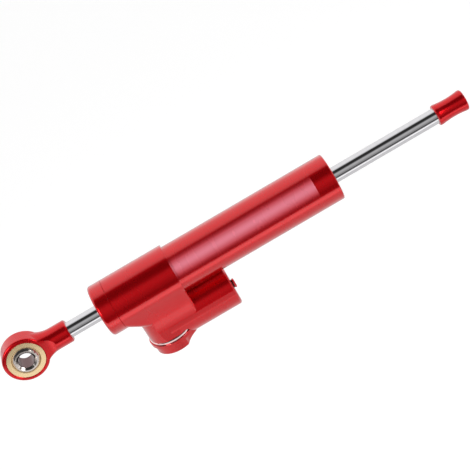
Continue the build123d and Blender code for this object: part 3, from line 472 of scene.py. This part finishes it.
class DAMPER_OT_housing(bpy.types.Operator):
    """Finishes the tube, the valve head, the cap, the gland and the plugs in anodised red"""
    bl_idname = "damper.housing"
    bl_label = "Red housing"

    def execute(self, context):
        settings = context.scene.damper_finish
        dress(RED_HOUSING + RED_PLUGS, anodised("red anodised housing", settings))
        # The tube gets a highlight painted into its colour, up to its plain end.
        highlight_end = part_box("outer_tube")[1][0] - settings.highlight_free_end
        dress(RED_TUBE, anodised("red tube with painted highlight", settings, highlight_end=highlight_end))
        return {"FINISHED"}


class DAMPER_OT_rod_parts(bpy.types.Operator):
    """Finishes the rod end and the end stop in anodised red"""
    bl_idname = "damper.rod_parts"
    bl_label = "Red rod end and stop"

    def execute(self, context):
        settings = context.scene.damper_finish
        dress(RED_ROD_PARTS, anodised("red anodised rod parts", settings, seal=0.6))
        return {"FINISHED"}


class DAMPER_OT_adjuster(bpy.types.Operator):
    """Finishes the adjuster knob and the valve's spindle"""
    bl_idname = "damper.adjuster"
    bl_label = "Adjuster"

    def execute(self, context):
        settings = context.scene.damper_finish
        upright = (0, math.radians(90), 0)
        dress(RED_ADJUSTER, anodised("red anodised knob", settings, turn=upright))
        dress(TURNED_BRASS, bare_metal(
            "turned brass", (0.78, 0.56, 0.25, 1), roughness=0.28, pitch=0.0003, turn=upright))
        return {"FINISHED"}


class DAMPER_OT_bare_aluminium(bpy.types.Operator):
    """Finishes the index plate and the inner aluminium pieces"""
    bl_idname = "damper.bare_aluminium"
    bl_label = "Bare aluminium"

    def execute(self, context):
        settings = context.scene.damper_finish
        upright = (math.radians(90), 0, math.radians(90))
        dress(POLISHED_PLATE, bare_metal(
            "polished plate", tuple(settings.plate_colour),
            roughness=0.18, pitch=0.0003, turn=upright, depth=0.000004))
        dress(BARE_TURNED, bare_metal(
            "bare turned aluminium", tuple(settings.bare_colour), roughness=0.3, pitch=0.0003))
        return {"FINISHED"}


class DAMPER_OT_rod(bpy.types.Operator):
    """Finishes the piston rod in hard chrome"""
    bl_idname = "damper.rod"
    bl_label = "Chromed rod"

    def execute(self, context):
        settings = context.scene.damper_finish
        dress(HARD_CHROME, bare_metal(
            "hard chrome", tuple(settings.chrome_colour),
            roughness=0.08, pitch=0.00012, depth=0.000002))
        return {"FINISHED"}


class DAMPER_OT_rod_end_bearing(bpy.types.Operator):
    """Finishes the ball in ground steel and its race in gold"""
    bl_idname = "damper.rod_end_bearing"
    bl_label = "Ball and race"

    def execute(self, context):
        settings = context.scene.damper_finish
        level = (0, 0, math.radians(90))
        low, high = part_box("rod_end_ball")
        # The bore's painted shade, centred on the ball.
        bore = ((low[0] + high[0]) / 2, settings.bore_radius, tuple(settings.bore_shade_colour))
        dress(BALL_STEEL, bare_metal(
            "ground ball steel", tuple(settings.ball_colour),
            roughness=0.16, pitch=0.0002, turn=level, depth=0.000004, bore=bore))
        dress(RACE_GOLD, bare_metal(
            "gold race", tuple(settings.race_colour), roughness=0.26, pitch=0.0003, turn=level))
        return {"FINISHED"}


class DAMPER_OT_inner_hardware(bpy.types.Operator):
    """Finishes the bushes, springs, screws, pins and seals"""
    bl_idname = "damper.inner_hardware"
    bl_label = "Inner hardware"

    def execute(self, context):
        dress(BUSH_BRONZE, bare_metal(
            "bearing bronze", (0.6, 0.36, 0.17, 1), roughness=0.36, pitch=0.0003))
        dress(DARK_STEEL, bare_metal(
            "screw steel", (0.3, 0.3, 0.31, 1), roughness=0.38, pitch=0.0003))
        dress(SPRING_STEEL, bare_metal(
            "spring steel", (0.42, 0.42, 0.44, 1), roughness=0.3, pitch=0.0005))
        dress(SEAL_RUBBER, seal_rubber("seal rubber"))
        return {"FINISHED"}


def studio_world():
    """White where the camera looks; for reflections a sweep behind and a dark room in front."""
    world = bpy.data.worlds.new("studio")
    bpy.context.scene.world = world
    world.use_nodes = True
    tree = world.node_tree
    tree.nodes.clear()
    place = tree.nodes.new("ShaderNodeTexCoord")
    _, y, z = axes(tree, place.outputs["Generated"])
    towards = math_node(tree, "MULTIPLY", y, -1.0)
    angle = math_node(tree, "ARCTAN2", z, towards)
    turn = math_node(tree, "MULTIPLY_ADD", angle, 0.5 / math.pi, 0.5)
    ramp = tree.nodes.new("ShaderNodeValToRGB")
    tree.links.new(turn, ramp.inputs["Fac"])
    band = ramp.color_ramp
    while len(band.elements) < len(ROOM_LEVELS):
        band.elements.new(0.5)
    for element, (degrees, level) in zip(band.elements, ROOM_LEVELS):
        element.position = degrees / 360 + 0.5
        element.color = (level, level, level, 1)
    room = tree.nodes.new("ShaderNodeBackground")
    tree.links.new(ramp.outputs["Color"], room.inputs["Color"])
    white = tree.nodes.new("ShaderNodeBackground")
    white.inputs["Color"].default_value = (1, 1, 1, 1)
    path = tree.nodes.new("ShaderNodeLightPath")
    seen = math_node(
        tree, "MAXIMUM", path.outputs["Is Camera Ray"], path.outputs["Is Transmission Ray"])
    mix = tree.nodes.new("ShaderNodeMixShader")
    tree.links.new(seen, mix.inputs["Fac"])
    tree.links.new(room.outputs[0], mix.inputs[1])
    tree.links.new(white.outputs[0], mix.inputs[2])
    output = tree.nodes.new("ShaderNodeOutputWorld")
    tree.links.new(mix.outputs[0], output.inputs["Surface"])


def studio_floor(settings):
    """A plain white table whose front edge lies below and in front of the damper."""
    mesh = bpy.data.meshes.new("floor")
    form = bmesh.new()
    bmesh.ops.create_grid(form, x_segments=1, y_segments=1, size=FLOOR_HALF)
    bmesh.ops.translate(
        form, verts=form.verts, vec=(0, FLOOR_HALF - settings.floor_front, -settings.floor_drop))
    form.to_mesh(mesh)
    form.free()
    floor = bpy.data.objects.new("floor", mesh)
    bpy.context.collection.objects.link(floor)
    made = bpy.data.materials.new("white table")
    made.use_nodes = True
    tree = made.node_tree
    shader = tree.nodes["Principled BSDF"]
    shader.inputs["Base Color"].default_value = FLOOR_GREY
    shader.inputs["Roughness"].default_value = 0.7
    shader.inputs["Specular IOR Level"].default_value = 0.2
    shader.inputs["Emission Color"].default_value = (1, 1, 1, 1)
    path = tree.nodes.new("ShaderNodeLightPath")
    mirrored = math_node(tree, "MULTIPLY", path.outputs["Is Glossy Ray"], FLOOR_MIRRORED)
    direct = math_node(tree, "MULTIPLY", path.outputs["Is Camera Ray"], FLOOR_SEEN)
    seen = math_node(tree, "MAXIMUM", direct, mirrored)
    tree.links.new(seen, shader.inputs["Emission Strength"])
    mesh.materials.append(made)


def area_lamp(name, width, height, power, place, aim):
    """A rectangular softbox that the camera doesn't see."""
    lamp = bpy.data.lights.new(name, "AREA")
    lamp.shape = "RECTANGLE"
    lamp.size = width
    lamp.size_y = height
    lamp.energy = power
    made = bpy.data.objects.new(name, lamp)
    bpy.context.collection.objects.link(made)
    made.location = place
    made.rotation_euler = (Vector(aim) - Vector(place)).to_track_quat("-Z", "Y").to_euler()
    made.visible_camera = False


def studio_lamps(settings):
    """A softbox at each side of the camera, and a low card in front of the reservoir."""
    x, y, z = SIDE_PLACE
    for side in (-1, 1):
        area_lamp("side softbox", settings.side_size, settings.side_size, settings.side_power,
                  (side * x, y, z), (0, 0, 0))
    card_z = -settings.card_top - settings.card_height / 2
    area_lamp("low card", settings.card_length, settings.card_height, settings.card_power,
              (0, -settings.card_distance, card_z), (0, 0, card_z))


def studio_camera(settings):
    """The camera square to the rod, raised and rolled as in the photograph."""
    high, roll = settings.camera_height, settings.camera_roll
    back = Vector((0, -math.cos(high), math.sin(high)))
    level_up = Vector((0, math.sin(high), math.cos(high)))
    along = Vector((1, 0, 0))
    right = along * math.cos(roll) - level_up * math.sin(roll)
    up = along * math.sin(roll) + level_up * math.cos(roll)
    spot = Vector(settings.camera_aim) + back * settings.camera_distance
    camera = bpy.data.cameras.new("camera")
    camera.sensor_width = SENSOR_WIDTH
    camera.lens = settings.camera_lens
    made = bpy.data.objects.new("camera", camera)
    bpy.context.collection.objects.link(made)
    made.matrix_world = Matrix((
        (right.x, up.x, back.x, spot.x),
        (right.y, up.y, back.y, spot.y),
        (right.z, up.z, back.z, spot.z),
        (0, 0, 0, 1)))
    bpy.context.scene.camera = made


class DAMPER_OT_studio(bpy.types.Operator):
    """Sets up the white table, the softboxes, the world and the camera"""
    bl_idname = "damper.studio"
    bl_label = "Studio"

    def execute(self, context):
        settings = context.scene.damper_studio
        context.scene.view_settings.view_transform = "Standard"
        studio_world()
        studio_floor(settings)
        studio_lamps(settings)
        studio_camera(settings)
        return {"FINISHED"}


class DAMPER_PT_panel(bpy.types.Panel):
    """Lists the finishes and the studio"""
    bl_label = "Steering damper"
    bl_idname = "DAMPER_PT_panel"
    bl_space_type = "VIEW_3D"
    bl_region_type = "UI"
    bl_category = "Damper"

    def draw(self, context):
        column = self.layout.column()
        for operator in OPERATORS:
            column.operator(operator.bl_idname)
        for group in (context.scene.damper_finish, context.scene.damper_studio):
            for name in group.bl_rna.properties.keys():
                if name not in ("rna_type", "name"):
                    column.prop(group, name)


OPERATORS = (
    DAMPER_OT_housing,
    DAMPER_OT_rod_parts,
    DAMPER_OT_adjuster,
    DAMPER_OT_bare_aluminium,
    DAMPER_OT_rod,
    DAMPER_OT_rod_end_bearing,
    DAMPER_OT_inner_hardware,
    DAMPER_OT_studio,
)
CLASSES = (DamperFinishSettings, DamperStudioSettings) + OPERATORS + (DAMPER_PT_panel,)


def register():
    for entry in CLASSES:
        bpy.utils.register_class(entry)
    bpy.types.Scene.damper_finish = bpy.props.PointerProperty(type=DamperFinishSettings)
    bpy.types.Scene.damper_studio = bpy.props.PointerProperty(type=DamperStudioSettings)


def unregister():
    del bpy.types.Scene.damper_studio
    del bpy.types.Scene.damper_finish
    for entry in reversed(CLASSES):
        bpy.utils.unregister_class(entry)


def main():
    register()
    bpy.ops.damper.housing()
    bpy.ops.damper.rod_parts()
    bpy.ops.damper.adjuster()
    bpy.ops.damper.bare_aluminium()
    bpy.ops.damper.rod()
    bpy.ops.damper.rod_end_bearing()
    bpy.ops.damper.inner_hardware()
    bpy.ops.damper.studio()


if __name__ == "__main__":
    main()
